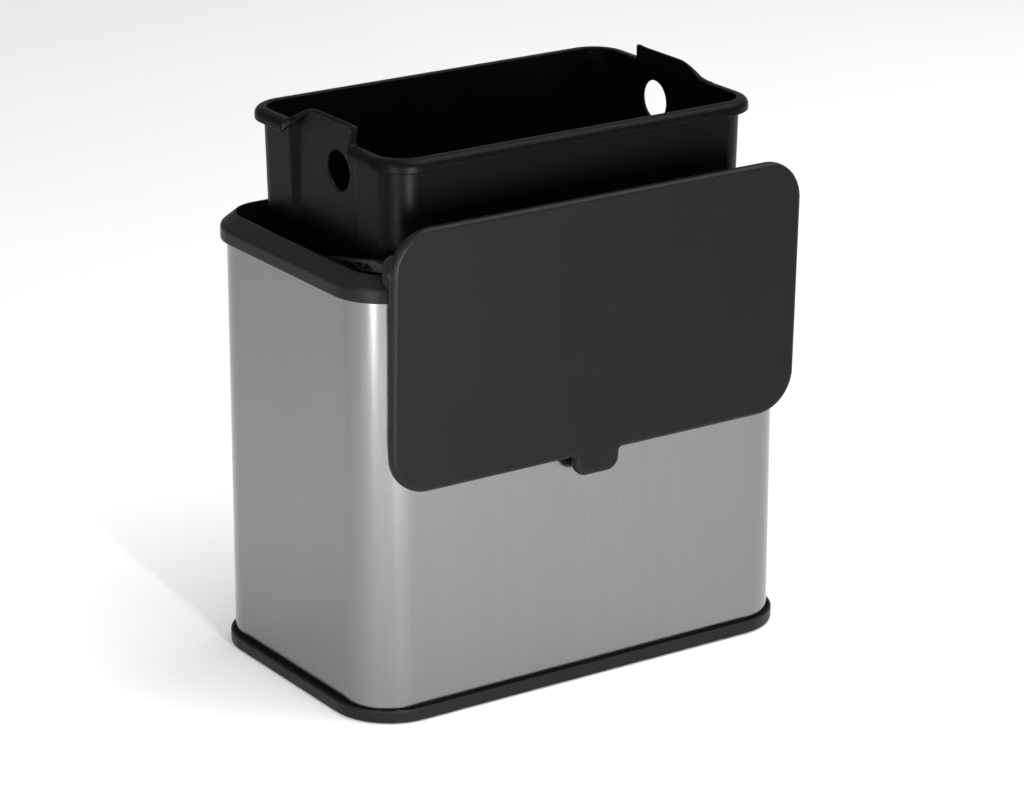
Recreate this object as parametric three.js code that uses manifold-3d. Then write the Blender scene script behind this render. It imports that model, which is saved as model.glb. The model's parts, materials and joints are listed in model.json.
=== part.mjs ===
// Rectangular waste bin: a brushed steel shell between a black base tray and a black collar, a lift-out
// inner bucket, and a flat lid that hangs in front of the bin on two swing arms.
// Millimetres, +Z up. X runs along the long side, -Y is the front. Every piece is drawn about the middle of
// the shell, on the floor; the finished group then moves so that the origin is under the whole object.
// Rest pose: lid hanging down in front of the shell, bucket raised out of the collar.

import * as THREE from 'three';
import { mergeVertices } from 'three/addons/utils/BufferGeometryUtils.js';
import Module from 'manifold-3d';

const wasm = await Module();
wasm.setup();

// ---------------------------------------------------------------- driving dimensions

const GAP = 0.3; // clearance between touching pieces
const CUT = 20; // how far a cutting block reaches past the piece it cuts
const ARC_STEPS = 6; // pairs of segments in each rounded corner
const ROUND_STEPS = 28; // segments in a small full circle

// A footprint is a rounded rectangle centred on the Z axis: half sizes and corner radius.
const SHELL = { x: 160.2, y: 95.5, r: 32, wall: 0.8, bottom: 9.3, top: 281 };

const BASE = { x: 165, y: 100.25, r: 40.5, bottom: 0.8, shoulder: 9, lipTop: 20, floorTop: 5, lipWall: 2.2 };

const FOOT = { radius: 9, height: 2.7, edge: 0.6, socketDepth: 2.2, x: 132, y: 68 };

const COLLAR = {
  x: 164.25, y: 99.5, r: 36, // outer band
  bottom: 274.4, crease: 283, top: 290,
  openX: 152.65, openY: 90.2, openR: 23.8, // mouth at the top edge
  edge: 0.7, // width of the narrow flat top edge
  ledgeTop: 268, ledgeThickness: 2.4, ledgeX: 136.5, ledgeY: 85.4, ledgeR: 22,
};

const BUCKET = {
  x: 139.4, y: 88.3, r: 25, // rolled rim, outside
  top: 357.5, rimDrop: 8, rimSkin: 1.6, overhang: 5.9,
  height: 260, narrowing: 6, wall: 2, bottomR: 14, bottomEdge: 3, rimEdge: 1,
  panelX: 129.7, panelHalf: 36, // set-back panel in each end wall
  gripTop: 368, gripFoot: 340, gripEnd: 360.7, gripEase: 14, gripLevel: 24, gripCorner: 5,
  holeRadius: 12.8, holeOffset: 14, holeZ: 335.5,
};

const LID = { width: 304.3, height: 168.5, thickness: 5.6, r: 27, above: 27.5, lean: 1.75 };
const TAB = { width: 33.4, length: 14, r: 9 };
const EAR = { radius: 8.3, thickness: 4.5, hole: 3, rise: 4.8, front: -2 };
const BUMPER = { width: 28, height: 9, depth: 6.4, r: 2, below: 4 };

const HINGE = { y: -106.8, z: 295.4 }; // axis through the lid's ears and the arm tips
const PIVOT = { y: -25, z: 278 }; // axis that the arms swing about
const ARM = {
  inner: 142.5, outer: 147, root: 8, tip: 4.4, // faces and end radii
  beamLow: 1.4, bend: 60, // underside above the centre line, and where the top starts to fall to the tip
  neck: THREE.MathUtils.degToRad(50), // where round the tip the falling top meets it
  rib: 1.3, pocket: 2.6, bays: 5, bore: 2.9,
};
const STUB = { radius: 2.7, end: 151.4 };
const PIN = { radius: 2.6, head: 4.6, headThickness: 1.2, end: 151.2 };
const WASHER = { radius: 6, thickness: 0.8 };
const BOSS_RADIUS = 7;

// ---------------------------------------------------------------- materials

const steel = new THREE.MeshStandardMaterial({ color: 0xa9a9a6, roughness: 0.38, metalness: 1 });
const plastic = new THREE.MeshStandardMaterial({ color: 0x1c1c1d, roughness: 0.55, metalness: 0 });
const lidPlastic = new THREE.MeshStandardMaterial({ color: 0x202021, roughness: 0.6, metalness: 0 });
const bucketPlastic = new THREE.MeshStandardMaterial({ color: 0x121213, roughness: 0.5, metalness: 0 });
const rubber = new THREE.MeshStandardMaterial({ color: 0x161616, roughness: 0.85, metalness: 0 });
const pinSteel = new THREE.MeshStandardMaterial({ color: 0x77787a, roughness: 0.35, metalness: 1 });

// ---------------------------------------------------------------- solids

/** Closed three.js geometry to a manifold solid. */
function solid(geometry) {
  const bare = geometry.clone();
  bare.deleteAttribute('normal');
  bare.deleteAttribute('uv');
  const merged = mergeVertices(bare, 1e-4);
  return new wasm.Manifold(new wasm.Mesh({
    numProp: 3,
    vertProperties: new Float32Array(merged.attributes.position.array),
    triVerts: new Uint32Array(merged.index.array),
  }));
}

/** Manifold solid back to a three.js geometry. */
function geometryOf(manifold) {
  const mesh = manifold.getMesh();
  const geometry = new THREE.BufferGeometry();
  geometry.setAttribute('position', new THREE.BufferAttribute(new Float32Array(mesh.vertProperties), 3));
  geometry.setIndex(new THREE.BufferAttribute(new Uint32Array(mesh.triVerts), 1));
  geometry.computeVertexNormals();
  return geometry;
}

/** Rounded rectangle outline with half sizes x and y. */
function roundedShape(x, y, r) {
  const shape = new THREE.Shape();
  shape.absarc(x - r, y - r, r, 0, Math.PI / 2);
  shape.absarc(-x + r, y - r, r, Math.PI / 2, Math.PI);
  shape.absarc(-x + r, -y + r, r, Math.PI, 1.5 * Math.PI);
  shape.absarc(x - r, -y + r, r, 1.5 * Math.PI, 2 * Math.PI);
  shape.closePath();
  return shape;
}

/** Upright prism of a shape between two heights. */
function prism(shape, bottom, top, curveSegments = ARC_STEPS) {
  const depth = top - bottom;
  const geometry = new THREE.ExtrudeGeometry(shape, { depth, bevelEnabled: false, curveSegments });
  return solid(geometry.translate(0, 0, bottom));
}

/** Upright rounded box between two heights. */
function roundedPrism(x, y, r, bottom, top) {
  return prism(roundedShape(x, y, r), bottom, top);
}

/** Closed solid through rounded rectangles {x, y, r, z}, from the lowest to the highest. */
function loft(sections) {
  const count = 4 * (2 * ARC_STEPS + 1);
  const rings = sections.map((s) => roundedShape(s.x, s.y, s.r).getPoints(ARC_STEPS)
    .slice(0, count)
    .map((p) => [p.x, p.y, s.z]));
  const positions = rings.flat(2);
  const index = [];
  for (let ring = 0; ring + 1 < rings.length; ring += 1) {
    for (let i = 0; i < count; i += 1) {
      const a = ring * count + i;
      const b = ring * count + (i + 1) % count;
      index.push(a, b, b + count, a, b + count, a + count);
    }
  }
  const last = (rings.length - 1) * count;
  for (let i = 1; i + 1 < count; i += 1) {
    index.push(0, i + 1, i, last, last + i, last + i + 1);
  }
  const geometry = new THREE.BufferGeometry();
  geometry.setAttribute('position', new THREE.Float32BufferAttribute(positions, 3));
  geometry.setIndex(index);
  return solid(geometry);
}

/** Box between two corners. */
function block(x0, x1, y0, y1, z0, z1) {
  const geometry = new THREE.BoxGeometry(x1 - x0, y1 - y0, z1 - z0);
  return solid(geometry.translate((x0 + x1) / 2, (y0 + y1) / 2, (z0 + z1) / 2));
}

/** Cylinder along X between x0 and x1, centred on (y, z). */
function rodX(radius, x0, x1, y, z, steps = ROUND_STEPS) {
  const geometry = new THREE.CylinderGeometry(radius, radius, Math.abs(x1 - x0), steps);
  return solid(geometry.rotateZ(Math.PI / 2).translate((x0 + x1) / 2, y, z));
}

/** Upright cylinder centred on (x, y). */
function rodZ(radius, z0, z1, x, y, steps = ROUND_STEPS) {
  const geometry = new THREE.CylinderGeometry(radius, radius, z1 - z0, steps);
  return solid(geometry.rotateX(Math.PI / 2).translate(x, y, (z0 + z1) / 2));
}

/** Plate drawn in the Y-Z plane (shape x is Y, shape y is Z), between x0 and x1. */
function plateX(shape, x0, x1, curveSegments = ARC_STEPS) {
  const geometry = new THREE.ExtrudeGeometry(shape, { depth: x1 - x0, bevelEnabled: false, curveSegments });
  geometry.rotateX(Math.PI / 2).rotateZ(Math.PI / 2);
  return solid(geometry.translate(x0, 0, 0));
}

/** Polygon shape from [a, b] pairs. */
function polygon(points) {
  return new THREE.Shape(points.map(([a, b]) => new THREE.Vector2(a, b)));
}

/** The other side's copy of a solid. */
const mirrored = (manifold) => manifold.mirror([1, 0, 0]);

// ---------------------------------------------------------------- shell and base

function makeShell() {
  const { x, y, r, wall, bottom, top } = SHELL;
  const inside = roundedPrism(x - wall, y - wall, r - wall, bottom - 1, top + 1);
  return roundedPrism(x, y, r, bottom, top).subtract(inside);
}

function footPlaces() {
  const places = [];
  for (const sx of [-1, 1]) for (const sy of [-1, 1]) places.push([sx * FOOT.x, sy * FOOT.y]);
  return places;
}

function makeBase() {
  const { x, y, r, bottom, shoulder, lipTop, floorTop, lipWall } = BASE;
  const inset = SHELL.wall + GAP;
  const lip = { x: SHELL.x - inset, y: SHELL.y - inset, r: SHELL.r - inset };
  let base = loft([
    { x: x - 1, y: y - 1, r: r - 1, z: bottom },
    { x, y, r, z: bottom + 1 },
    { x, y, r, z: shoulder - 1 },
    { x: x - 1, y: y - 1, r: r - 1, z: shoulder },
  ]);
  base = base.add(roundedPrism(lip.x, lip.y, lip.r, shoulder - 1, lipTop));
  base = base.subtract(roundedPrism(lip.x - lipWall, lip.y - lipWall, lip.r - lipWall, floorTop, lipTop + 1));
  for (const [fx, fy] of footPlaces()) {
    base = base.subtract(rodZ(FOOT.radius + GAP, bottom - 1, bottom + FOOT.socketDepth, fx, fy));
  }
  return base;
}

function makeFoot([x, y]) {
  const { radius, height, edge } = FOOT;
  const profile = [[0, 0], [radius - edge, 0], [radius, edge], [radius, height], [0, height]];
  const geometry = new THREE.LatheGeometry(profile.map(([a, b]) => new THREE.Vector2(a, b)), ROUND_STEPS);
  return solid(geometry.rotateX(Math.PI / 2).translate(x, y, 0));
}

// ---------------------------------------------------------------- collar

function makeCollar() {
  const c = COLLAR;
  const inset = SHELL.wall + GAP;
  const tongue = { x: SHELL.x - inset, y: SHELL.y - inset, r: SHELL.r - inset };
  const low = c.ledgeTop - c.ledgeThickness;
  let collar = loft([
    { x: c.x, y: c.y, r: c.r, z: c.bottom },
    { x: c.x, y: c.y, r: c.r, z: c.crease },
    { x: c.openX + c.edge, y: c.openY + c.edge, r: c.openR + c.edge, z: c.top },
  ]);
  collar = collar.add(roundedPrism(tongue.x, tongue.y, tongue.r, low, c.bottom + 1));
  const groove = roundedPrism(SHELL.x + GAP, SHELL.y + GAP, SHELL.r + GAP, low - 1, SHELL.top + GAP)
    .subtract(roundedPrism(tongue.x, tongue.y, tongue.r, low - 2, SHELL.top + 1));
  collar = collar.subtract(groove);
  collar = collar.subtract(roundedPrism(c.openX, c.openY, c.openR, c.ledgeTop, c.top + 1));
  collar = collar.subtract(roundedPrism(c.ledgeX, c.ledgeY, c.ledgeR, low - 1, c.ledgeTop + 1));
  const bossFace = ARM.outer + GAP + WASHER.thickness + GAP;
  for (const side of [1, -1]) {
    const boss = rodX(BOSS_RADIUS, side * bossFace, side * (c.openX + 1), PIVOT.y, PIVOT.z);
    const socket = rodX(PIN.radius + GAP, side * (bossFace - 1), side * (PIN.end + GAP), PIVOT.y, PIVOT.z);
    collar = collar.add(boss).subtract(socket);
  }
  return collar;
}

// ---------------------------------------------------------------- inner bucket

/** Raised grip in the left end wall: steep towards the front, a long easy ramp towards the back. */
function gripShape() {
  const b = BUCKET;
  const half = b.panelHalf;
  const shape = new THREE.Shape();
  shape.moveTo(-half, b.gripFoot);
  shape.lineTo(half, b.gripFoot);
  shape.lineTo(half, b.gripEnd);
  shape.quadraticCurveTo(half - b.gripEase, b.gripTop, half - b.gripLevel, b.gripTop);
  shape.lineTo(-half + b.gripCorner, b.gripTop);
  shape.quadraticCurveTo(-half, b.gripTop, -half, b.gripTop - b.gripCorner);
  shape.closePath();
  return shape;
}

/** Turns a solid half a turn about the Z axis: the two ends of the bucket match this way. */
const turned = (manifold) => manifold.rotate([0, 0, 180]);

function makeBucket() {
  const b = BUCKET;
  const floor = b.top - b.height;
  const wallTop = { x: b.x - b.overhang, y: b.y - b.overhang, r: b.r - b.overhang };
  const section = (inset, z) => {
    const t = (b.top - z) / b.height;
    return {
      x: wallTop.x - inset - b.narrowing * t,
      y: wallTop.y - inset - b.narrowing * t,
      r: THREE.MathUtils.lerp(wallTop.r, b.bottomR, t) - inset,
      z,
    };
  };
  const outer = loft([section(b.bottomEdge, floor), section(0, floor + b.bottomEdge), section(0, b.top)]);
  const rim = loft([
    { x: b.x, y: b.y, r: b.r, z: b.top - b.rimDrop },
    { x: b.x, y: b.y, r: b.r, z: b.top - b.rimEdge },
    { x: b.x - b.rimEdge, y: b.y - b.rimEdge, r: b.r - b.rimEdge, z: b.top },
  ]);
  const skin = b.rimSkin;
  const rimHollow = roundedPrism(b.x - skin, b.y - skin, b.r - skin, b.top - b.rimDrop - 1, b.top - skin);
  let cavity = loft([section(b.wall, floor + b.wall), section(b.wall, b.top), {
    x: wallTop.x - b.wall, y: wallTop.y - b.wall, r: wallTop.r - b.wall, z: b.top + CUT,
  }]);
  let bucket = rim.subtract(rimHollow).add(outer);

  const half = b.panelHalf;
  const recess = block(-b.x - 1, -b.panelX, -half, half, floor - 1, b.top + 1);
  const backHalf = half + b.wall;
  const panelBack = block(-b.x - 1, -b.panelX + b.wall, -backHalf, backHalf, floor - 1, b.top + 2 * CUT);
  const grip = plateX(gripShape(), -b.panelX, -b.panelX + b.wall);
  const hole = rodX(b.holeRadius, -b.x, -b.x + CUT, -b.holeOffset, b.holeZ);
  for (const place of [(m) => m, turned]) {
    bucket = bucket.subtract(place(recess));
    cavity = cavity.subtract(place(panelBack));
  }
  bucket = bucket.subtract(cavity);
  for (const place of [(m) => m, turned]) {
    bucket = bucket.add(place(grip)).subtract(place(hole));
  }
  return bucket;
}

// ---------------------------------------------------------------- lid
// The lid is built lying in the X-Z plane with its back face on y = 0 and the hinge axis at the origin,
// then leaned about the hinge axis until its bumper rests on the shell.

/** Stands a shape drawn in X-Y up in the X-Z plane, between two depths behind the back face. */
function upright(shape, front, back, up) {
  const geometry = new THREE.ExtrudeGeometry(shape, {
    depth: back - front, bevelEnabled: false, curveSegments: ARC_STEPS,
  });
  return solid(geometry.rotateX(Math.PI / 2).translate(0, back, up));
}

function leaned(manifold) {
  return manifold.rotate([LID.lean, 0, 0]).translate([0, HINGE.y, HINGE.z]);
}

function makeLid() {
  const middle = LID.above - LID.height / 2;
  const bottom = LID.above - LID.height;
  const outline = roundedShape(LID.width / 2, LID.height / 2, LID.r);
  let lid = upright(outline, -LID.thickness, 0, middle);
  const tab = roundedShape(TAB.width / 2, TAB.length, TAB.r);
  lid = lid.add(upright(tab, -LID.thickness, 0, bottom));
  const edge = LID.width / 2;
  const inner = edge - EAR.thickness;
  const ear = rodX(EAR.radius, inner, edge, 0, 0)
    .add(rodX(EAR.radius, inner, edge, 0, EAR.rise))
    .add(block(inner, edge, 0, EAR.radius, 0, EAR.rise))
    .subtract(block(inner - 1, edge + 1, -CUT, EAR.front, -CUT, CUT));
  const bore = rodX(EAR.hole, inner - 1, edge + 1, 0, 0);
  const relief = rodX(ARM.tip + GAP, ARM.inner - GAP, inner, 0, 0);
  for (const place of [(m) => m, mirrored]) {
    lid = lid.add(place(ear)).subtract(place(bore)).subtract(place(relief));
  }
  return leaned(lid);
}

function makeBumper() {
  const bottom = LID.above - LID.height;
  const pad = roundedShape(BUMPER.width / 2, BUMPER.height / 2, BUMPER.r);
  return leaned(upright(pad, GAP, GAP + BUMPER.depth, bottom + BUMPER.height / 2 - BUMPER.below));
}

// ---------------------------------------------------------------- swing arms and their pins

/** Plate drawn in the arm's own plane: shape x runs from the pivot to the hinge, shape y is up. */
function armPlate(shape, x0, x1) {
  const rise = THREE.MathUtils.radToDeg(Math.atan2(HINGE.z - PIVOT.z, PIVOT.y - HINGE.y));
  return plateX(shape, -x1, -x0)
    .mirror([0, 1, 0])
    .rotate([-rise, 0, 0])
    .translate([0, PIVOT.y, PIVOT.z]);
}

/** Triangle moved in by a distance on all three sides. */
function insetTriangle([a, b, c], distance) {
  const sides = [b.distanceTo(c), c.distanceTo(a), a.distanceTo(b)];
  const around = sides[0] + sides[1] + sides[2];
  const centre = new THREE.Vector2()
    .addScaledVector(a, sides[0] / around)
    .addScaledVector(b, sides[1] / around)
    .addScaledVector(c, sides[2] / around);
  const area = Math.abs((b.x - a.x) * (c.y - a.y) - (c.x - a.x) * (b.y - a.y)) / 2;
  const keep = 1 - (distance * around) / (2 * area);
  return [a, b, c].map((corner) => corner.clone().sub(centre).multiplyScalar(keep).add(centre));
}

/** Zigzag of triangular pockets in the arm's outer face: what is left is a truss of ribs. */
function armPockets() {
  const pitch = (ARM.bend - ARM.root) / (ARM.bays + 1);
  const low = ARM.beamLow + ARM.rib / 2;
  const high = ARM.root - ARM.rib / 2;
  const corner = (i) => new THREE.Vector2(ARM.root + i * pitch, i % 2 === 0 ? low : high);
  const pockets = [];
  for (let i = 0; i < ARM.bays; i += 1) {
    const shape = new THREE.Shape(insetTriangle([corner(i), corner(i + 1), corner(i + 2)], ARM.rib / 2));
    pockets.push(armPlate(shape, ARM.outer - ARM.pocket, ARM.outer + 1));
  }
  return pockets;
}

/** Flat truss beam with a round pivot end; the slim tip carries a stub that snaps into the lid's ear. */
function makeArm() {
  const length = Math.hypot(HINGE.y - PIVOT.y, HINGE.z - PIVOT.z);
  const neck = [length - ARM.tip * Math.cos(ARM.neck), ARM.tip * Math.sin(ARM.neck)];
  const beam = polygon([[0, ARM.beamLow], [length - 2 * ARM.tip, ARM.beamLow], [length - 1, GAP - ARM.tip],
    neck, [ARM.bend, ARM.root], [0, ARM.root]]);
  let arm = armPlate(beam, ARM.inner, ARM.outer)
    .add(rodX(ARM.tip, -ARM.outer, -ARM.inner, HINGE.y, HINGE.z))
    .add(rodX(STUB.radius, -STUB.end, -ARM.inner - 1, HINGE.y, HINGE.z))
    .add(rodX(ARM.root, -ARM.outer, -ARM.inner, PIVOT.y, PIVOT.z));
  for (const pocket of armPockets()) arm = arm.subtract(pocket);
  return arm.subtract(rodX(ARM.bore, -ARM.outer - 1, -ARM.inner + 1, PIVOT.y, PIVOT.z));
}

/** Headed pin that the arm swings on, its head on the arm's inner face. */
function makePivotPin() {
  const headOuter = ARM.inner - GAP;
  const headInner = headOuter - PIN.headThickness;
  return rodX(PIN.head, -headInner, -headOuter, PIVOT.y, PIVOT.z)
    .add(rodX(PIN.radius, -(headInner + headOuter) / 2, -PIN.end, PIVOT.y, PIVOT.z));
}

function makeWasher() {
  const inner = ARM.outer + GAP;
  return rodX(WASHER.radius, -inner, -inner - WASHER.thickness, PIVOT.y, PIVOT.z)
    .subtract(rodX(ARM.bore, -inner + 1, -inner - WASHER.thickness - 1, PIVOT.y, PIVOT.z));
}

// ---------------------------------------------------------------- assembly

const bin = new THREE.Group();

function addNode(parent, name, manifold, material) {
  const mesh = new THREE.Mesh(geometryOf(manifold), material);
  mesh.name = name;
  parent.add(mesh);
}

function addPair(parent, name, manifold, material) {
  addNode(parent, `${name}_left`, manifold, material);
  addNode(parent, `${name}_right`, mirrored(manifold), material);
}

const body = new THREE.Group();
addNode(body, 'steel_shell', makeShell(), steel);
addNode(body, 'base_tray', makeBase(), plastic);
footPlaces().forEach((place, i) => addNode(body, `foot_pad_${i + 1}`, makeFoot(place), rubber));
addNode(body, 'collar', makeCollar(), plastic);
addPair(body, 'pivot_pin', makePivotPin(), pinSteel);
addPair(body, 'pivot_washer', makeWasher(), bucketPlastic);
bin.add(body);

const arms = new THREE.Group();
addPair(arms, 'lid_arm', makeArm(), plastic);
bin.add(arms);

const lidGroup = new THREE.Group();
addNode(lidGroup, 'lid_panel', makeLid(), lidPlastic);
addNode(lidGroup, 'lid_bumper', makeBumper(), rubber);
bin.add(lidGroup);

addNode(bin, 'inner_bucket', makeBucket(), bucketPlastic);

// The lid hangs in front of the bin, so the origin moves from under the bin to under the whole object.
const middle = new THREE.Box3().setFromObject(bin).getCenter(new THREE.Vector3());
bin.position.y = -middle.y;

export default bin;
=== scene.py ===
# Rectangular waste bin: brushed steel shell, black collar and base, lift-out bucket, and a flat lid that
# hangs in front on two swing arms. Lengths are millimetres about the shell's own axis, with the floor at
# z = 0, until place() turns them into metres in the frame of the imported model.
import json
import math

import bmesh
import bpy
import numpy as np
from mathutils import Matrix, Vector


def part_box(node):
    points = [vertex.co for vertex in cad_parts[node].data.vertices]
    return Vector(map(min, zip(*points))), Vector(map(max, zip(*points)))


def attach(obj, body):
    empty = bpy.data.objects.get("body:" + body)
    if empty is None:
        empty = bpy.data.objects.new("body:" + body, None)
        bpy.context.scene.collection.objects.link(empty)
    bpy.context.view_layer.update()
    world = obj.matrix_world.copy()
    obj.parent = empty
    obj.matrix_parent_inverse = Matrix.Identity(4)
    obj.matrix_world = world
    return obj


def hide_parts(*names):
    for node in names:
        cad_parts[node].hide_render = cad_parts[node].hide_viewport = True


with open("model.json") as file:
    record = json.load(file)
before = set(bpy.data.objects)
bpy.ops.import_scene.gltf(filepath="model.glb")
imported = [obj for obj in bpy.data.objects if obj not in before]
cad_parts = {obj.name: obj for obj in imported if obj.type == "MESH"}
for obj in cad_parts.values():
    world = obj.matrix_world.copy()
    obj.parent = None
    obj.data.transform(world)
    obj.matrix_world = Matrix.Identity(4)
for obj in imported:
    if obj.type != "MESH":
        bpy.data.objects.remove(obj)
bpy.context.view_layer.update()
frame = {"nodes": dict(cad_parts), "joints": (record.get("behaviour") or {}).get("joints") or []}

MM = 0.001
CORNER_STEPS = 24  # segments in each rounded corner seen from above
FILLET_STEPS = 5  # segments in each small rounding
CIRCLE_STEPS = 64
MERGE_DISTANCE = 0.002  # points closer than this become one
QUARTER_TURN = math.pi / 2
QUARTERS = ((1, 1), (-1, 1), (-1, -1), (1, -1))  # signs of x and y in each quarter, anticlockwise

shell_low, shell_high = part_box("steel_shell")
AXIS = Vector((0.0, (shell_low.y + shell_high.y) / 2, 0.0))


def box_mm(node):
    """A CAD node's lowest and highest corners, in millimetres about the shell's axis."""
    low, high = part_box(node)
    return (low - AXIS) / MM, (high - AXIS) / MM


# ---------------------------------------------------------------- mesh helpers


def merge_points(tool):
    bmesh.ops.remove_doubles(tool, verts=tool.verts, dist=MERGE_DISTANCE * MM)


def place(name, points, faces, material=None, body=None, slot=None, nodes=()):
    """A mesh object from points in millimetres. With a body it rides there in place of its CAD nodes;
    without one it is a tool for combine()."""
    mesh = bpy.data.meshes.new(name)
    mesh.from_pydata([tuple(Vector(p) * MM + AXIS) for p in points], [], faces)
    tool = bmesh.new()
    tool.from_mesh(mesh)
    merge_points(tool)
    bmesh.ops.recalc_face_normals(tool, faces=tool.faces)
    tool.to_mesh(mesh)
    tool.free()
    piece = bpy.data.objects.new(name, mesh)
    bpy.context.scene.collection.objects.link(piece)
    if material:
        mesh.materials.append(material)
    if body:
        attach(piece, body)
        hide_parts(*nodes)
    return piece


def apply_modifiers(piece):
    """Bakes a piece's modifiers into its mesh."""
    bpy.context.view_layer.update()
    graph = bpy.context.evaluated_depsgraph_get()
    baked = bpy.data.meshes.new_from_object(piece.evaluated_get(graph))
    piece.modifiers.clear()
    piece.data = baked


def combine(piece, other, operation):
    """Joins another piece to this one (UNION) or cuts it away (DIFFERENCE); the other one is used up."""
    modifier = piece.modifiers.new("boolean", "BOOLEAN")
    modifier.operation = operation
    modifier.solver = "EXACT"
    modifier.object = other
    apply_modifiers(piece)
    bpy.data.objects.remove(other)


def soften(piece, bevel=0.0):
    """Smooth shading that keeps flat faces flat, after an optional small bevel of the sharp edges."""
    bevel_from, sharp_from = math.radians(32), math.radians(40)
    if bevel:
        modifier = piece.modifiers.new("bevel", "BEVEL")
        modifier.width = bevel * MM
        modifier.segments = 2
        modifier.limit_method = "ANGLE"
        modifier.angle_limit = bevel_from
        modifier.harden_normals = False
        apply_modifiers(piece)
    piece.data.shade_smooth()
    piece.data.set_sharp_from_angle(angle=sharp_from)
    modifier = piece.modifiers.new("weighted_normals", "WEIGHTED_NORMAL")
    modifier.mode = "FACE_AREA"
    modifier.keep_sharp = True


def fillet(corners, closed=True):
    """Outline through (a, b, radius) corners, each rounded off by an arc that fits its two sides."""
    result = []
    count = len(corners)
    for i, (a, b, radius) in enumerate(corners):
        here = np.array([a, b], float)
        if radius == 0 or (not closed and i in (0, count - 1)):
            result.append(here)
            continue
        before = np.array(corners[i - 1][:2], float) - here
        after = np.array(corners[(i + 1) % count][:2], float) - here
        to_before, to_after = before / np.linalg.norm(before), after / np.linalg.norm(after)
        half = math.acos(np.clip(to_before @ to_after, -1, 1)) / 2
        reach = radius / math.tan(half)
        bisector = (to_before + to_after) / np.linalg.norm(to_before + to_after)
        centre = here + bisector * radius / math.sin(half)
        start, end = here + to_before * reach - centre, here + to_after * reach - centre
        turn = math.pi - 2 * half
        steps = max(2, round(FILLET_STEPS * turn / QUARTER_TURN))
        for k in range(steps + 1):
            t = k / steps
            mixed = (math.sin((1 - t) * turn) * start + math.sin(t * turn) * end) / math.sin(turn)
            result.append(centre + mixed)
    return result


def rectangle_ring(x, y, radius):
    """Rounded rectangle seen from above, anticlockwise, as an (n, 2) array."""
    points = []
    for quarter, (sx, sy) in enumerate(QUARTERS):
        for k in range(CORNER_STEPS + 1):
            angle = (quarter + k / CORNER_STEPS) * QUARTER_TURN
            arc_x, arc_y = radius * math.cos(angle), radius * math.sin(angle)
            points.append((sx * (x - radius) + arc_x, sy * (y - radius) + arc_y))
    return np.array(points)


def skin(rings, ends=False):
    """Points and faces of a surface through equal rings. It joins the last ring to the first, or with ends
    it closes each of the two with a face."""
    count = len(rings[0])
    points = [p for ring in rings for p in ring]
    faces = []
    for r in range(len(rings) - 1 if ends else len(rings)):
        base, above = r * count, (r + 1) % len(rings) * count
        for i in range(count):
            j = (i + 1) % count
            faces.append((base + i, base + j, above + j, above + i))
    if ends:
        last = (len(rings) - 1) * count
        faces.append(tuple(range(count))[::-1])
        faces.append(tuple(range(last, last + count)))
    return points, faces


def rectangle_rings(sections):
    """Rounded rectangles from (x, y, radius, z) sections."""
    return [[(px, py, z) for px, py in rectangle_ring(x, y, r)] for x, y, r, z in sections]


def lathe(profile, centre, axis):
    """Points and faces of a (distance along, radius) profile turned about an axis through centre."""
    rings = []
    for along, radius in profile:
        ring = []
        for k in range(CIRCLE_STEPS):
            angle = 2 * math.pi * k / CIRCLE_STEPS
            u, v = radius * math.cos(angle), radius * math.sin(angle)
            offset = (along, u, v) if axis == "X" else (u, v, along)
            ring.append(tuple(Vector(centre) + Vector(offset)))
        rings.append(ring)
    return skin(rings, ends=True)


def plate(outline, steps, tilt):
    """Points and faces of an outline of (u, v, normal u, normal v) through (inset, depth) steps."""
    rings = []
    for inset, depth in steps:
        rings.append([tilt((u - nu * inset, depth, v - nv * inset)) for u, v, nu, nv in outline])
    return skin(rings, ends=True)


def smooth_step(value, low, high):
    """0 at low, 1 at high, easing at both ends."""
    t = np.clip((value - low) / (high - low), 0.0, 1.0)
    return t * t * (3 - 2 * t)


# ---------------------------------------------------------------- materials


def nodes_of(name):
    """A new material, its node tree and its shader."""
    material = bpy.data.materials.new(name)
    material.use_nodes = True
    tree = material.node_tree
    return material, tree, tree.nodes["Principled BSDF"]


def noise(tree, scale, stretch=(1, 1, 1), detail=4.0, rough=0.55):
    """Noise over the object's own coordinates, stretched along its axes."""
    coordinates = tree.nodes.new("ShaderNodeTexCoord")
    mapping = tree.nodes.new("ShaderNodeMapping")
    mapping.inputs["Scale"].default_value = stretch
    texture = tree.nodes.new("ShaderNodeTexNoise")
    texture.inputs["Scale"].default_value = scale
    texture.inputs["Detail"].default_value = detail
    texture.inputs["Roughness"].default_value = rough
    tree.links.new(coordinates.outputs["Object"], mapping.inputs["Vector"])
    tree.links.new(mapping.outputs["Vector"], texture.inputs["Vector"])
    return texture.outputs["Fac"]


def ramp(tree, source, low, high, start, end):
    """Maps a value between low and high to a value or colour between start and end."""
    node = tree.nodes.new("ShaderNodeValToRGB")
    node.color_ramp.elements[0].position = low
    node.color_ramp.elements[1].position = high
    for element, value in zip(node.color_ramp.elements, (start, end)):
        element.color = (*value, 1) if isinstance(value, tuple) else (value, value, value, 1)
    tree.links.new(source, node.inputs["Fac"])
    return node.outputs["Color"]


def multiply(tree, a, b):
    """Product of two colours."""
    node = tree.nodes.new("ShaderNodeMix")
    node.data_type = "RGBA"
    node.blend_type = "MULTIPLY"
    factor, first, second, result = 0, 6, 7, 2  # sockets of a colour mix
    node.inputs[factor].default_value = 1.0
    tree.links.new(a, node.inputs[first])
    tree.links.new(b, node.inputs[second])
    return node.outputs[result]


def bump(tree, shader, height, strength, distance):
    node = tree.nodes.new("ShaderNodeBump")
    node.inputs["Strength"].default_value = strength
    node.inputs["Distance"].default_value = distance * MM
    tree.links.new(height, node.inputs["Height"])
    tree.links.new(node.outputs["Normal"], shader.inputs["Normal"])


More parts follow.
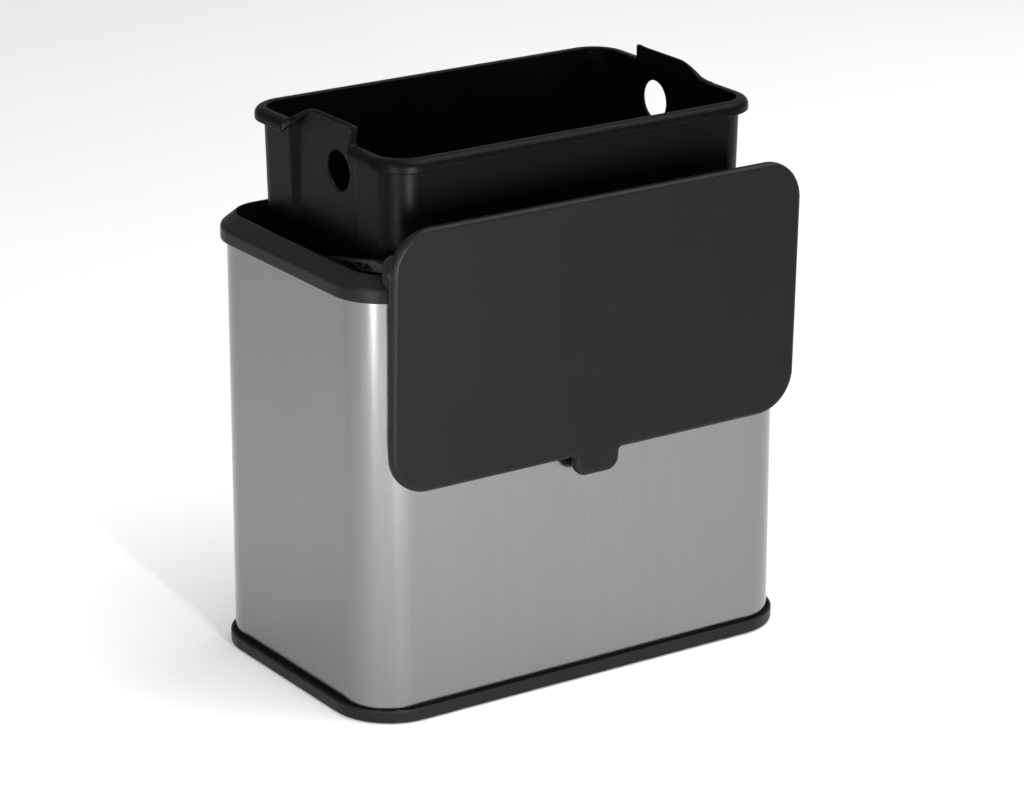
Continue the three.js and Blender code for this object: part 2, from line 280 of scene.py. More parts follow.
def grey(value):
    return (value, value, value)


def scaled(tone, factor):
    return tuple(c * factor for c in tone)


def moulded_plastic(name, tone, spread, roughness, grain, specular):
    """Black moulded plastic: fine spark-erosion grain, faint flow marks, roughness that drifts a little."""
    material, tree, shader = nodes_of(name)
    smoother, rougher = 0.05, 0.06  # how far the roughness drifts either way
    flow = noise(tree, scale=26, stretch=(1, 1, 0.45), detail=5)
    speck = ramp(tree, noise(tree, scale=900, detail=2), 0.35, 0.7, 0.86, 1.0)
    marks = ramp(tree, flow, 0.3, 0.7, scaled(tone, 1 - spread), scaled(tone, 1 + spread))
    tree.links.new(multiply(tree, marks, speck), shader.inputs["Base Color"])
    drift = noise(tree, scale=9, detail=6, rough=0.65)
    gloss = ramp(tree, drift, 0.25, 0.75, roughness - smoother, roughness + rougher)
    tree.links.new(gloss, shader.inputs["Roughness"])
    shader.inputs["Specular IOR Level"].default_value = specular
    bump(tree, shader, noise(tree, scale=grain, detail=3), strength=0.35, distance=0.06)
    return material


def brushed_steel(name, tone):
    """Stainless sheet brushed up and down: long fine streaks in colour, roughness and relief."""
    material, tree, shader = nodes_of(name)
    shader.inputs["Metallic"].default_value = 1.0
    fine = noise(tree, scale=1500, stretch=(1, 1, 0.006), detail=3, rough=0.6)
    coarse = noise(tree, scale=240, stretch=(1, 1, 0.012), detail=4, rough=0.6)
    cloud = noise(tree, scale=7, stretch=(1, 1, 0.6), detail=3)
    fine_streaks = ramp(tree, fine, 0.3, 0.7, scaled(tone, 0.965), scaled(tone, 1.03))
    colour = multiply(tree, fine_streaks, ramp(tree, coarse, 0.3, 0.7, 0.965, 1.0))
    colour = multiply(tree, colour, ramp(tree, cloud, 0.3, 0.7, 0.975, 1.0))
    tree.links.new(colour, shader.inputs["Base Color"])
    tree.links.new(ramp(tree, coarse, 0.25, 0.75, 0.17, 0.22), shader.inputs["Roughness"])
    bump(tree, shader, fine, strength=0.22, distance=0.02)
    return material


def turned_steel(name):
    """Small zinc-plated turned pin, with faint rings."""
    material, tree, shader = nodes_of(name)
    shader.inputs["Metallic"].default_value = 1.0
    rings = noise(tree, scale=2200, stretch=(0.05, 1, 1), detail=2)
    colour = ramp(tree, rings, 0.3, 0.7, (0.36, 0.36, 0.37), (0.5, 0.5, 0.52))
    tree.links.new(colour, shader.inputs["Base Color"])
    tree.links.new(ramp(tree, rings, 0.3, 0.7, 0.28, 0.42), shader.inputs["Roughness"])
    bump(tree, shader, rings, strength=0.2, distance=0.02)
    return material


def rubber_material(name):
    """Soft matt rubber with a dusty bloom."""
    material, tree, shader = nodes_of(name)
    bloom = noise(tree, scale=60, detail=6, rough=0.7)
    colour = ramp(tree, bloom, 0.35, 0.75, grey(0.007), (0.015, 0.015, 0.014))
    tree.links.new(colour, shader.inputs["Base Color"])
    tree.links.new(ramp(tree, bloom, 0.3, 0.7, 0.7, 0.85), shader.inputs["Roughness"])
    shader.inputs["Specular IOR Level"].default_value = 0.3
    bump(tree, shader, noise(tree, scale=1200, detail=3), strength=0.3, distance=0.08)
    return material


LID_TONE = (0.0052, 0.0052, 0.0055)
STEEL = brushed_steel("brushed_steel", (0.226, 0.225, 0.221))
TRIM_PLASTIC = moulded_plastic("black_plastic", grey(0.0048), 0.1, 0.44, grain=1500, specular=0.17)
LID_PLASTIC = moulded_plastic("lid_plastic", LID_TONE, 0.07, 0.54, grain=1300, specular=0.12)
LID_EDGE_PLASTIC = moulded_plastic("lid_edge_plastic", LID_TONE, 0.07, 0.42, grain=2200, specular=0.15)
BUCKET_PLASTIC = moulded_plastic("bucket_plastic", grey(0.0013), 0.1, 0.36, grain=1700, specular=0.072)
ARM_PLASTIC = moulded_plastic("arm_plastic", grey(0.006), 0.1, 0.42, grain=1800, specular=0.3)
WASHER_PLASTIC = moulded_plastic("washer_plastic", grey(0.03), 0.1, 0.35, grain=2200, specular=0.4)
PIN_STEEL = turned_steel("pin_steel")
RUBBER = rubber_material("rubber")


# ---------------------------------------------------------------- shell, base, feet


def make_shell():
    """Bent sheet with rolled-off edges and a lapped seam down the middle of the back."""
    low, high = box_mm("steel_shell")
    x, y, radius, wall, edge = high.x, high.y, 32.0, 0.8, 0.3
    profile = fillet([(0, low.z, edge), (0, high.z, edge), (wall, high.z, edge), (wall, low.z, edge)])
    seam_half, seam_lift = 6.0, 0.35
    seam_top, seam_y = seam_half - seam_lift, y + seam_lift
    seam = [(seam_half, y), (seam_top, seam_y), (-seam_half, seam_y), (-seam_half, y)]
    plan = rectangle_ring(x, y, radius)
    back = CORNER_STEPS  # the back wall runs from this point to the next
    plan = np.insert(plan, back + 1, seam, axis=0)
    centre_x, centre_y = x - radius, y - radius
    core_x = np.clip(plan[:, 0], -centre_x, centre_x)
    core_y = np.clip(plan[:, 1], -centre_y, centre_y)
    normal = plan - np.stack([core_x, core_y], 1)
    normal /= np.linalg.norm(normal, axis=1)[:, None]
    rings = [[(*(p - n * inset), z) for p, n in zip(plan, normal)] for inset, z in profile]
    piece = place("steel_wrap", *skin(rings), STEEL, "bin", "brushed_steel", ["steel_shell"])
    soften(piece)


def make_base():
    """Tray with a full rounded outer edge, a lip inside the shell, and sockets for the feet."""
    low, high = box_mm("base_tray")
    x, y, radius = high.x, high.y, 40.5
    shoulder, floor_top, groove = 9.0, 5.0, 7.2
    sole, sole_step = low.z, 0.6  # lowest level, and how much higher the middle of the underside is
    lip, lip_wall, lip_radius = 5.9, 2.2, 32.0  # lip's outer face, inset from the tray's outer edge
    floor_edge = lip + lip_wall + 6
    outline = fillet(
        [
            (9, sole + sole_step, 0), (7.4, sole + sole_step, 0.3), (6.8, sole, 0.3), (0.3, sole, 1.1),
            (0, shoulder, 0.9), (2.3, shoulder, 0.7), (4.1, groove, 0.4), (lip, groove, 0.4),
            (lip, high.z, 0.5), (lip + lip_wall, high.z, 0.5), (lip + lip_wall, floor_top, 1.2),
            (floor_edge, floor_top, 0),
        ],
        closed=False,
    )
    narrowing = radius - lip_radius  # of the corner radius, from the outer edge to the lip
    sections = []
    for t, z in outline:
        corner = radius - t * narrowing / lip if t < lip else radius - narrowing - (t - lip)
        sections.append((x - t, y - t, corner, z))
    points, faces = skin(rectangle_rings(sections), ends=True)
    piece = place("base_tray_moulded", points, faces, TRIM_PLASTIC, "bin", "black_plastic", ["base_tray"])
    gap = 0.3  # between a foot and its socket
    for i in range(1, 5):
        foot_low, foot_high = box_mm(f"foot_pad_{i}")
        middle = (foot_low + foot_high) / 2
        socket, top = (foot_high.x - foot_low.x) / 2 + gap, foot_high.z + gap
        depth = fillet([(-1, 0, 0), (-1, socket, 0), (top, socket, 0.5), (top, 0, 0)])
        turned = lathe([(z, r) for z, r in depth if r > 0.01], (middle.x, middle.y, 0), "Z")
        combine(piece, place("socket", *turned), "DIFFERENCE")
    soften(piece)


def make_feet():
    """Round rubber pads with a softened edge, and a dimple and a shallow grip ring underneath."""
    groove, dimple, centre = 0.5, 2.4, 0.4  # depth of dimple and ring, the dimple's radius, its middle point
    ring_start, ring_end, slope = 4.6, 6.5, 0.6
    sole = [
        (groove, centre), (groove, dimple), (0, dimple + slope), (0, ring_start),
        (groove, ring_start + slope), (groove, 6.0), (0, ring_end),
    ]
    for i in range(1, 5):
        low, high = box_mm(f"foot_pad_{i}")
        radius, top = (high.x - low.x) / 2, high.z
        middle = (low + high) / 2
        corners = [(ring_end, 0, 0), (radius, 0, 0.8), (radius, top, 0.25), (centre, top, 0)]
        profile = sole + [(z, r) for r, z in fillet(corners, closed=False)][1:]
        points, faces = lathe(profile, (middle.x, middle.y, 0), "Z")
        piece = place(f"foot_{i}", points, faces, RUBBER, "bin", "rubber", [f"foot_pad_{i}"])
        soften(piece)


# ---------------------------------------------------------------- collar


def make_collar():
    """Band round the shell's top: upright side, flat chamfer, thin top edge, ledge inside, pivot bosses."""
    low, high = box_mm("collar")
    outer_y, outer_radius = high.y, 36.0
    mouth_x, mouth_y, mouth_radius = 152.65, 90.2, 23.8
    band_low, crease, top = 274.4, 283.0, high.z
    slot, tongue, roof = 3.75, 5.15, 281.3  # the shell's edge goes up between slot and tongue
    ledge_top, ledge = 268.0, high.x - 136.5
    slope = high.x - mouth_x
    top_edge = 1.3
    outline = fillet(
        [
            (0, band_low, 0.5), (0, crease, 3.4), (slope - top_edge, top, 0.35), (slope, top, 0.35),
            (slope, ledge_top, 1.0), (ledge, ledge_top, 0.8), (ledge, low.z, 0.8), (tongue, low.z, 0.5),
            (tongue, roof, 0), (slot, roof, 0), (slot, band_low, 0.3),
        ]
    )
    above_shell = 281.5
    # Half depth and corner radius at each inset from the outer face, everywhere but on the chamfer.
    insets = [0.0, 4.05, tongue, slope, ledge]
    half_depths = [outer_y, 95.5, 94.4, mouth_y, 85.4]
    radii = [outer_radius, 32.0, 30.9, mouth_radius, 22.0]
    sections = []
    for t, z in outline:
        if z > above_shell and t <= slope:
            share = t / slope
            y = outer_y + (mouth_y - outer_y) * share
            r = outer_radius + (mouth_radius - outer_radius) * share
        else:
            y, r = np.interp(t, insets, half_depths), np.interp(t, insets, radii)
        sections.append((high.x - t, y, r, z))
    points, faces = skin(rectangle_rings(sections))
    piece = place("collar_moulded", points, faces, TRIM_PLASTIC, "bin", "black_plastic", ["collar"])
    pin_low, pin_high = box_mm("pivot_pin_right")
    washer_high = box_mm("pivot_washer_right")[1].x
    centre = (0, (pin_low.y + pin_high.y) / 2, (pin_low.z + pin_high.z) / 2)
    gap, boss_radius, socket_radius = 0.3, 7, 2.9
    start, end = washer_high + gap, mouth_x + 1
    for side in (1, -1):
        boss = fillet([(start, 0, 0), (start, boss_radius, 0.5), (end, boss_radius, 0), (end, 0, 0)])
        boss = [(side * a, r) for a, r in boss if r > 0.01]
        combine(piece, place("boss", *lathe(boss, centre, "X")), "UNION")
        socket = [(side * washer_high, socket_radius), (side * (pin_high.x + gap), socket_radius)]
        combine(piece, place("socket", *lathe(socket, centre, "X")), "DIFFERENCE")
    soften(piece)


# ---------------------------------------------------------------- inner bucket

BUCKET_HEIGHT, NARROWING, WALL = 260.0, 6.0, 2.0
OVERHANG, RIM_DROP, RIM_SKIN = 5.9, 8.0, 1.6  # rolled rim: how far out, how far down, how thick
RIM_RADIUS, BOTTOM_RADIUS = 25.0, 14.0
PANEL_HALF, PANEL_BACK = 36.0, 3.8  # set-back panel in each end wall: half width, depth at the top
GRIP_RISE, EASY_START, EASY_LENGTH = 10.5, 11.0, 27.0  # grip's height, and its easy ramp
BEAD, BEAD_DROP = 0.7, 2.2  # rim thinned to a bead along the grip
LIP_SHARE = 0.48  # how much of the rim is left at the grip's steep end
PAST_END_WALL = 60.0  # a place along the end wall that is beyond the grip and the panel


def bucket_stations(x, y, radius):
    """Places round the rim as (centre x, centre y, normal x, normal y): corner arcs, long sides in even
    steps, and end walls in fine steps where the grip starts and ends."""
    fine_start, fine_end, fine_step, coarse = 26, 43, 0.7, 6
    fine = np.arange(fine_start, fine_end, fine_step)
    far, near = fine_end + 1, fine_start - 2  # where the coarser steps take over
    end_wall = np.concatenate(
        [
            np.linspace(-(y - radius), -far, coarse)[:-1], -fine[::-1], np.linspace(-near, near, 25), fine,
            np.linspace(far, y - radius, coarse)[1:],
        ]
    )
    long_wall = np.linspace(-(x - radius), x - radius, 41)
    walls = (
        [(a, y - radius, 0, 1) for a in long_wall[::-1]],
        [(-(x - radius), b, -1, 0) for b in end_wall[::-1]],
        [(a, -(y - radius), 0, -1) for a in long_wall],
        [(x - radius, b, 1, 0) for b in end_wall],
    )
    stations = []
    for quarter, (sx, sy) in enumerate(QUARTERS):
        for k in range(1, CORNER_STEPS):
            angle = (quarter + k / CORNER_STEPS) * QUARTER_TURN
            stations.append((sx * (x - radius), sy * (y - radius), math.cos(angle), math.sin(angle)))
        stations += walls[quarter]
    return stations


def grip_shape(along):
    """Height above the rim, overhang of the rolled rim, its drop, and the panel's share, at a place along
    the left end wall (positive towards the back). The grip is steep at the front and an easy ramp at the
    back, and the rim thins out to a bead as it climbs either side."""
    front, back = -PANEL_HALF, PANEL_HALF
    foot = front - 3.4  # where the grip starts to rise
    steep = smooth_step(along, foot, front + 1.8)
    easy = math.cos(QUARTER_TURN * min(max((along - EASY_START) / EASY_LENGTH, 0), 1))
    height = GRIP_RISE * steep * easy
    climb = smooth_step(along, foot, front + 0.4)
    thin = smooth_step(along, front + 1.0, front + 12)
    end = smooth_step(along, back - 0.2, back + 1.4)
    fade = smooth_step(along, back - 20, back) * (1 - end)
    on_grip = 1 - climb * (1 - LIP_SHARE * (1 - thin))
    overhang = BEAD + (OVERHANG - BEAD) * max(on_grip, 0.5 * fade + end)
    drop = BEAD_DROP + (RIM_DROP - BEAD_DROP) * max(on_grip, 0.6 * fade + end)
    panel_front = smooth_step(along, front - 3.0, front + 2.4)
    panel_back = 1 - smooth_step(along, back - 5.0, back + 2.4)
    return float(height), float(overhang), float(drop), float(panel_front * panel_back)


def bucket_section(height, overhang, drop, panel, floor, rim):
    """Outline of the wall at one station as (offset outwards from the rim's outer line, z, corner radius):
    underside, up the outside, over the rolled rim, down the inside and along the floor."""
    top = rim + height

    def outer_wall(z):
        narrowed = -OVERHANG - NARROWING * (rim - min(z, rim)) / BUCKET_HEIGHT
        return narrowed + panel * (min(-OVERHANG - PANEL_BACK, narrowed) - narrowed)

    outside, inside = outer_wall(rim), outer_wall(rim) - WALL
    edge = outside + overhang
    hollow = float(smooth_step(overhang, 1.6, 4.6))  # 1 where the rim is hollow below, 0 where it is a bead
    bead = 1 - hollow
    skin_thickness = min(RIM_SKIN, 0.62 * overhang)
    roof = top - RIM_SKIN - bead * (drop - RIM_SKIN - 0.05)
    lip = min(5.0, (edge - inside) * 0.62, drop * 0.68)
    lower = np.linspace(floor + 3.2, min(roof, top - drop) - 3.5, 15)
    under, under_step = floor + 1.2, 10.2  # raised middle of the underside, and how far in it starts
    bottom, floor_top = outer_wall(floor), floor + WALL
    inner_bottom = outer_wall(floor_top) - WALL
    corners = [
        (bottom - under_step - 1.8, under, 0), (bottom - under_step - 0.6, under, 0.4),
        (bottom - under_step, floor, 0.4), (bottom, floor, 3.0),
    ]
    corners += [(outer_wall(z), z, 0) for z in lower]
    corners += [
        (outside, roof, 0.02 + 0.6 * hollow), (edge - skin_thickness, roof, 0.02 + 0.6 * hollow),
        (edge - skin_thickness, top - drop, 0.02 + 0.2 * hollow), (edge, top - drop, 0.15 + 0.6 * hollow),
        (edge, top, lip), (inside, top, min(0.9, lip * 0.5)),
    ]
    corners += [(outer_wall(z) - WALL, z, 0) for z in lower[::-1][:-1]]
    corners += [(inner_bottom, floor_top, 6.0), (inner_bottom - 9, floor_top, 0)]
    return corners


def bucket_loop(station, corners, rim):
    """The wall's outline at one station as points. Lower down, a corner's centre moves inwards, because the
    corner's radius stays larger there than the wall's narrowing alone would leave it."""
    cx, cy, nx, ny = station
    top_radius = RIM_RADIUS - OVERHANG
    loop = []
    for offset, z in fillet(corners, closed=False):
        share = np.clip((rim - z) / BUCKET_HEIGHT, 0, 1)
        wanted = top_radius + (BOTTOM_RADIUS - top_radius) * share
        shift = wanted - (top_radius - NARROWING * share)
        reach = RIM_RADIUS + offset + shift
        px = cx - math.copysign(shift, cx) + nx * reach if nx else cx
        py = cy - math.copysign(shift, cy) + ny * reach if ny else cy
        loop.append((px, py, z))
    return loop


def make_bucket():
    """Bucket with a rolled rim, and a grip, a set-back panel and a finger hole in each end wall."""
    low, high = box_mm("inner_bucket")
    x, y = high.x, high.y
    floor, rim = low.z, low.z + BUCKET_HEIGHT
    loops = []
    for station in bucket_stations(x, y, RIM_RADIUS):
        centre_y, normal_x, normal_y = station[1:]
        on_end = abs(normal_y) < 1e-6 and abs(centre_y) < y - RIM_RADIUS + 1e-6
        along = (centre_y if normal_x < 0 else -centre_y) if on_end else PAST_END_WALL
        loops.append(bucket_loop(station, bucket_section(*grip_shape(along), floor, rim), rim))
    points, faces = skin([list(ring) for ring in zip(*loops)], ends=True)
    node = "inner_bucket"
    piece = place("bucket_moulded", points, faces, BUCKET_PLASTIC, "bucket", "bucket_plastic", [node])
    hole, hole_below_rim, hole_offset, edge = 12.8, 22.0, 14.0, 0.6
    outer_face = x - OVERHANG - PANEL_BACK
    inner_face = outer_face - WALL
    quarter = np.linspace(0, QUARTER_TURN, 5)
    rounding = [(edge * (1 - math.cos(a)), hole + edge * (1 - math.sin(a))) for a in quarter]
    profile = [(outer_face + 3, hole + edge)]
    profile += [(outer_face - depth, radius) for depth, radius in rounding]
    profile += [(inner_face + depth, radius) for depth, radius in rounding[::-1]]
    profile += [(inner_face - 3, hole + edge)]
    for side in (-1, 1):
        centre = (0, side * hole_offset, rim - hole_below_rim)
        cutter = place("finger_hole", *lathe([(side * a, r) for a, r in profile], centre, "X"))
        combine(piece, cutter, "DIFFERENCE")
    soften(piece)


# ---------------------------------------------------------------- lid and its bumper

LID_LEAN = math.radians(1.75)
LID_WIDTH, LID_HEIGHT, LID_THICKNESS, LID_RADIUS = 304.3, 168.5, 5.6, 27.0
LID_ABOVE = 27.5  # lid's height above its hinge line
TAB_WIDTH, TAB_LENGTH, TAB_RADIUS = 33.4, 14.0, 9.0
EAR_STEPS = 32


def lid_frame():
    """A function from lid space (across, depth, up, about the hinge line) to the bin's space."""
    joint = next(j for j in frame["joints"] if j["name"] == "lid_tilt")
    hinge = (Vector(joint["pos_m"]) - AXIS) / MM

    def tilt(p):
        u, depth, v = p
        along_y = depth * math.cos(LID_LEAN) - v * math.sin(LID_LEAN)
        along_z = depth * math.sin(LID_LEAN) + v * math.cos(LID_LEAN)
        return (u, hinge.y + along_y, hinge.z + along_z)

    return tilt


def outline_with_normals(corners, steps):
    """Outline through (u, v, radius) corners as (u, v, normal u, normal v), anticlockwise, arcs in steps."""
    result = []
    count = len(corners)
    for i, (u, v, radius) in enumerate(corners):
        here = np.array([u, v], float)
        before = here - np.array(corners[i - 1][:2], float)
        after = np.array(corners[(i + 1) % count][:2], float) - here
        before, after = before / np.linalg.norm(before), after / np.linalg.norm(after)
        turn = math.atan2(before[0] * after[1] - before[1] * after[0], before @ after)
        reach = radius * math.tan(abs(turn) / 2)
        start = here - before * reach
        first_normal = math.atan2(-before[0], before[1])
        sign = 1 if turn > 0 else -1
        centre = start - sign * radius * np.array([math.cos(first_normal), math.sin(first_normal)])
        for k in range(steps + 1):
            angle = first_normal + turn * k / steps
            direction = np.array([math.cos(angle), math.sin(angle)])
            result.append((*(centre + sign * radius * direction), *direction))
    return result


def edge_steps(thickness, front, back):
    """(inset, depth) steps through a plate from its front face to its back face, with both edges rounded."""
    angles = np.linspace(0, QUARTER_TURN, FILLET_STEPS + 1)
    steps = [(front * (1 - math.sin(a)), -thickness + front * (1 - math.cos(a))) for a in angles]
    steps += [(back * (1 - math.sin(a)), -back * (1 - math.cos(a))) for a in angles[::-1]]
    return steps


def make_ear(side, ear, rise, inner_face, outer_face, tilt):
    """Lobe behind the lid that the hinge goes through. Its front is cut off inside the panel, and its outer
    face follows the lid's rounded corner."""
    front_cut = -2.0  # depth, inside the panel
    below = math.asin(front_cut / ear)
    start, end = -QUARTER_TURN + below, QUARTER_TURN - below
    lobe = []
    for first, last, lift in ((start, 0, 0), (0, end, rise)):
        for k in range(EAR_STEPS + 1):
            angle = first + (last - first) * k / EAR_STEPS
            lobe.append((ear * math.cos(angle), lift + ear * math.sin(angle)))
    edge, part = 0.5, 0.15  # rounding, and a step on the way round it
    steps = [(inner_face, edge), (inner_face + part, part), (inner_face + edge, 0)]
    steps += [(outer_face - edge, 0), (outer_face - part, part), (outer_face, edge)]
    rings = []
    for u, inset in steps:
        outer = u > (inner_face + outer_face) / 2
        ring = []
        for depth, v in lobe:
            core = min(max(v, 0), rise)
            away = Vector((depth, v - core))
            shrink = 1 - inset / away.length
            into_corner = max(v - (LID_ABOVE - LID_RADIUS), 0)
            recess = LID_RADIUS - math.sqrt(LID_RADIUS**2 - into_corner**2) if outer else 0
            ring.append(tilt((side * (u - recess), away.x * shrink, core + away.y * shrink)))
        rings.append(ring)
    return place("ear", *skin(rings, ends=True))


def polish_edge(piece):
    """Gives the lid's rounded edge, which is smoother than its grained faces, a material of its own."""
    facing = Vector((0, -math.cos(LID_LEAN), -math.sin(LID_LEAN)))
    mostly_facing = math.cos(math.radians(8))
    piece.data.materials.append(LID_EDGE_PLASTIC)
    edge_slot = len(piece.data.materials) - 1
    for face in piece.data.polygons:
        if abs(face.normal.dot(facing)) < mostly_facing:
            face.material_index = edge_slot


def make_lid():
    """Flat lid with rounded corners, a finger tab below and two hinge ears behind."""
    half, bottom, top = LID_WIDTH / 2, LID_ABOVE - LID_HEIGHT, LID_ABOVE
    tab, tab_root = TAB_WIDTH / 2, 2.2
    corners = [
        (-half, bottom, LID_RADIUS), (-tab, bottom, tab_root), (-tab, bottom - TAB_LENGTH, TAB_RADIUS),
        (tab, bottom - TAB_LENGTH, TAB_RADIUS), (tab, bottom, tab_root), (half, bottom, LID_RADIUS),
        (half, top, LID_RADIUS), (-half, top, LID_RADIUS),
    ]
    tilt = lid_frame()
    outline = outline_with_normals(corners, CORNER_STEPS)
    front_edge, back_edge = 3.2, 0.7
    points, faces = plate(outline, edge_steps(LID_THICKNESS, front_edge, back_edge), tilt)
    piece = place("lid_moulded", points, faces, LID_PLASTIC, "lid", "lid_plastic", ["lid_panel"])
    ear, rise, thickness, bore, tip = 8.3, 4.8, 4.5, 3.0, 4.7
    outer_face, inner_face = half - 0.04, half - thickness
    relief_start = 142.2  # room for the arm's round tip, up to the ear's inner face
    centre = tilt((0, 0, 0))
    for side in (-1, 1):
        combine(piece, make_ear(side, ear, rise, inner_face, outer_face, tilt), "UNION")
        hole = [(side * (inner_face - 1), bore), (side * (outer_face + 1), bore)]
        combine(piece, place("bore", *lathe(hole, centre, "X")), "DIFFERENCE")
        relief = [(side * relief_start, tip), (side * inner_face, tip)]
        combine(piece, place("relief", *lathe(relief, centre, "X")), "DIFFERENCE")
    polish_edge(piece)
    soften(piece)


def make_bumper():
    """Soft block behind the lid's lower edge that rests against the shell."""
    lid_bottom = LID_ABOVE - LID_HEIGHT
    half, low, high, depth, radius = 14.0, lid_bottom - 4.0, lid_bottom + 5.0, 6.4, 2.0
    gap, lid_side_edge, shell_side_edge = 0.3, 0.3, 0.9
    corners = [(-half, low, radius), (half, low, radius), (half, high, radius), (-half, high, radius)]
    outline = outline_with_normals(corners, steps=8)
    steps = edge_steps(depth, lid_side_edge, shell_side_edge)
    points, faces = plate(outline, [(inset, gap + depth + d) for inset, d in steps], lid_frame())
    piece = place("bumper_pad", points, faces, RUBBER, "lid", "rubber", ["lid_bumper"])
    soften(piece)


# ---------------------------------------------------------------- swing arms, pins, washers


def make_arms():
    """Truss arms: copies of the CAD nodes, with their edges eased."""
    eased, flat = 0.28, math.radians(1)
    for side in ("left", "right"):
        copy = frame["nodes"][f"lid_arm_{side}"].data.copy()
        piece = bpy.data.objects.new(f"arm_{side}", copy)
        bpy.context.scene.collection.objects.link(piece)
        copy.materials.clear()
        copy.materials.append(ARM_PLASTIC)
        tool = bmesh.new()
        tool.from_mesh(copy)
        merge_points(tool)
        bmesh.ops.dissolve_limit(tool, angle_limit=flat, verts=tool.verts, edges=tool.edges)
        tool.to_mesh(copy)
        tool.free()
        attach(piece, "arms")
        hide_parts(f"lid_arm_{side}")
        soften(piece, bevel=eased)


def make_pins():
    """Headed pivot pins with a centre mark, and the washers on them."""
    shank, head_thickness, mark, bore = 2.6, 1.2, 0.35, 2.9
    turn = [2 * math.pi * k / CIRCLE_STEPS for k in range(CIRCLE_STEPS)]
    for side, sign in (("left", -1), ("right", 1)):
        low, high = box_mm(f"pivot_pin_{side}")
        inner, outer = sorted((abs(low.x), abs(high.x)))
        y, z = (low.y + high.y) / 2, (low.z + high.z) / 2
        head, behind_head = (high.y - low.y) / 2, inner + head_thickness
        profile = fillet(
            [
                (inner + mark, 1.1, 0), (inner + mark, 1.5, 0), (inner, 1.9, 0), (inner, head, 0.4),
                (behind_head, head, 0.25), (behind_head, shank, 0.15), (outer, shank, 0.5), (outer, 0.6, 0),
            ],
            closed=False,
        )
        points, faces = lathe([(sign * a, r) for a, r in profile], (0, y, z), "X")
        pin = place(f"pin_{side}", points, faces, PIN_STEEL, "bin", "pin_steel", [f"pivot_pin_{side}"])
        soften(pin)
        node = f"pivot_washer_{side}"
        low, high = box_mm(node)
        inner, outer = sorted((abs(low.x), abs(high.x)))
        radius = (high.y - low.y) / 2
        ring = fillet([(inner, bore, 0.1), (inner, radius, 0.25), (outer, radius, 0.25), (outer, bore, 0.1)])
        rings = [[(sign * a, y + r * math.cos(t), z + r * math.sin(t)) for t in turn] for a, r in ring]
        points, faces = skin(rings)
        washer = place(f"washer_{side}", points, faces, WASHER_PLASTIC, "bin", "washer_plastic", [node])
        soften(washer)


make_shell()
make_base()
make_feet()
make_collar()
make_bucket()
make_lid()
make_bumper()
make_arms()
make_pins()


# ---------------------------------------------------------------- floor, light, camera


def make_floor():
    """Wide pale floor with a faint unevenness."""
    material, tree, shader = nodes_of("pale_floor")
    patch = noise(tree, scale=1.5, detail=5)
    colour = ramp(tree, patch, 0.3, 0.7, grey(0.90), grey(0.925))
    tree.links.new(colour, shader.inputs["Base Color"])
    shader.inputs["Roughness"].default_value = 0.9
    shader.inputs["Specular IOR Level"].default_value = 0.1
    reach = 14.0  # metres
    mesh = bpy.data.meshes.new("floor")
    corners = [(-reach, -reach, 0), (reach, -reach, 0), (reach, reach, 0), (-reach, reach, 0)]
    mesh.from_pydata(corners, [], [(0, 1, 2, 3)])
    mesh.materials.append(material)
    floor = bpy.data.objects.new("floor", mesh)
    bpy.context.scene.collection.objects.link(floor)


def area_light(name, location, target, width, height, power):
    """Rectangular light at a place in metres, facing a target."""
    light = bpy.data.lights.new(name, "AREA")
    light.shape = "RECTANGLE"
    light.size, light.size_y, light.energy = width, height, power
    lamp = bpy.data.objects.new(name, light)
    lamp.location = location
    lamp.rotation_euler = (Vector(target) - Vector(location)).to_track_quat("-Z", "Y").to_euler()
    bpy.context.scene.collection.objects.link(lamp)


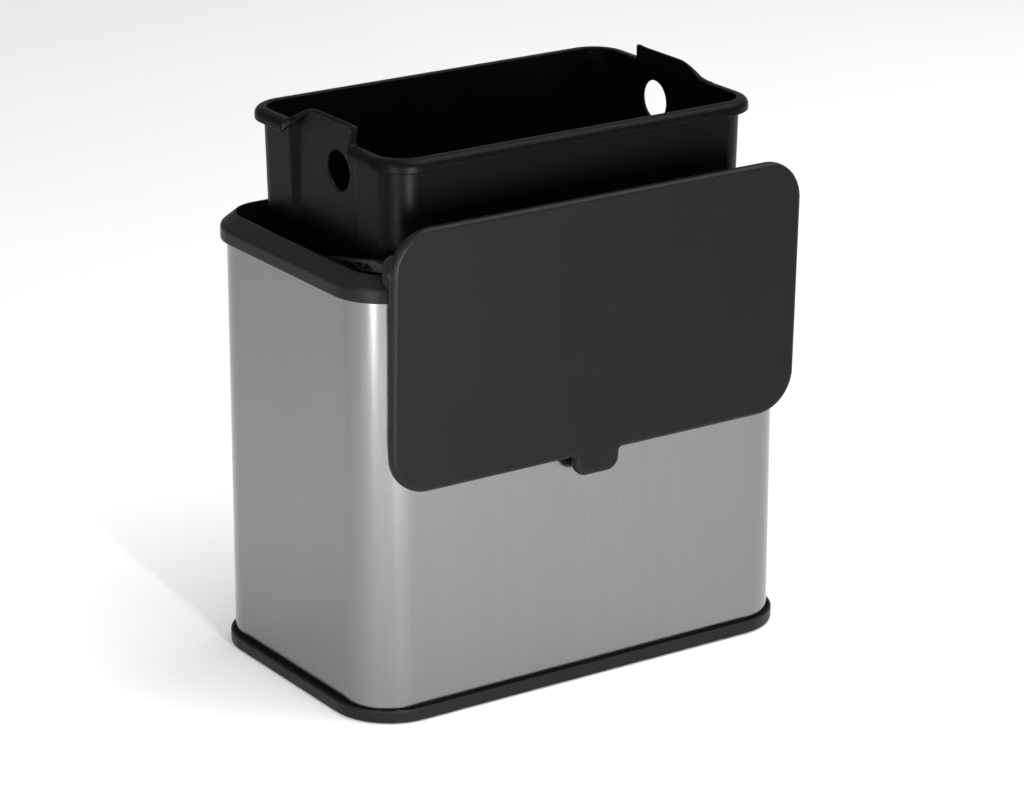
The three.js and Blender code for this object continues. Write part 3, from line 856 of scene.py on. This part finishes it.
def strip(azimuth, power):
    """Upright strip light just above the floor, at an azimuth from the front towards the left, facing the
    shell's front left corner, where it makes a soft upright highlight."""
    distance, width, height, above_floor = 1.0, 0.06, 0.4, 0.02
    turn = math.radians(azimuth)
    corner = Vector((shell_low.x, shell_low.y, 0))
    away = Vector((-math.sin(turn), -math.cos(turn), 0)) * distance
    location = corner + away + Vector((0, 0, height / 2 + above_floor))
    area_light("strip", location, corner + Vector((0, 0, height / 2)), width, height, power)


def make_light():
    """Pale surroundings, brighter above and dimmer behind, with a large light overhead, two strips and a
    small box light on the left."""
    world = bpy.data.worlds.new("studio")
    world.use_nodes = True
    tree = world.node_tree
    background = tree.nodes["Background"]
    direction = tree.nodes.new("ShaderNodeTexCoord")
    split = tree.nodes.new("ShaderNodeSeparateXYZ")
    tree.links.new(direction.outputs["Generated"], split.inputs["Vector"])
    upwards = ramp(tree, split.outputs["Z"], 0.0, 0.8, 0.62, 1.0)
    backwards = ramp(tree, split.outputs["Y"], 0.0, 0.8, 1.0, 0.65)
    tree.links.new(multiply(tree, upwards, backwards), background.inputs["Color"])
    background.inputs["Strength"].default_value = 0.72
    bpy.context.scene.world = world
    area_light("overhead", (1.0, -0.6, 2.3), (0.15, -0.1, 0.1), width=2.4, height=2.0, power=50)
    strip(azimuth=6.4, power=12.5)
    strip(azimuth=56.8, power=5.5)
    area_light("left_box", (-1.9, -0.7, 1.5), (0, 0, 0.25), width=0.5, height=0.5, power=10)


def make_camera():
    """Camera in front of the left corner, looking down at the middle of the bin."""
    location, target = Vector((-1352.6, -2024.0, 1013.1)) * MM, Vector((-1.3, -6.3, 166.9)) * MM
    camera = bpy.data.cameras.new("camera")
    camera.lens, camera.sensor_width = 140.98, 36.0
    camera.clip_end = 60
    viewer = bpy.data.objects.new("camera", camera)
    viewer.location = location
    viewer.rotation_euler = (target - viewer.location).to_track_quat("-Z", "Y").to_euler()
    bpy.context.scene.collection.objects.link(viewer)
    bpy.context.scene.camera = viewer


make_floor()
make_light()
make_camera()
bpy.context.scene.view_settings.view_transform = "Standard"
